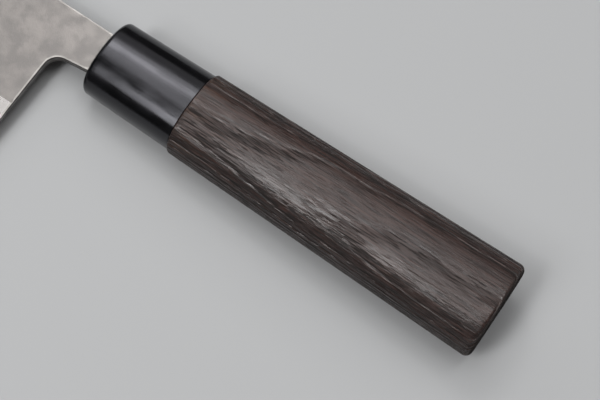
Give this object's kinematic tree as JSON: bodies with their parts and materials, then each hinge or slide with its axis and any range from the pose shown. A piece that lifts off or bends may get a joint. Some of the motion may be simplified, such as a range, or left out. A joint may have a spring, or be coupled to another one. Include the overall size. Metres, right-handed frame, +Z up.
{
  "type": "nakiri knife",
  "caption": "Straight-edged vegetable knife: a tall laminated steel blade with a hidden tang in an oval dark wood handle with a black ferrule.",
  "frame": {"origin": "centre of the knife's box on the surface it lies on", "axes": "+X along the knife from the blade's front to the butt of the handle, +Y towards the spine with the cutting edge at -Y, +Z up out of the left face; the knife lies on its right side, on the ferrule's mouth and the blade's front"},
  "size_m": [0.297, 0.0574, 0.0226],
  "materials": {
    "core_steel": "ground bright",
    "clad_steel": "hazy satin with a cloudy mottle, bright on the bevel and along the eased edges",
    "black_ferrule": "polished gloss black",
    "burnt_wood": "burnt ring-porous wood, oiled to a satin sheen",
    "bedding_resin": "cast, dark"
  },
  "bodies": {
    "root": {"blade_core": "core_steel", "blade_cladding_left": "clad_steel", "blade_cladding_right": "clad_steel", "ferrule": "black_ferrule", "grip": "burnt_wood", "tang_bedding": "bedding_resin"}
  },
  "joints": []
}
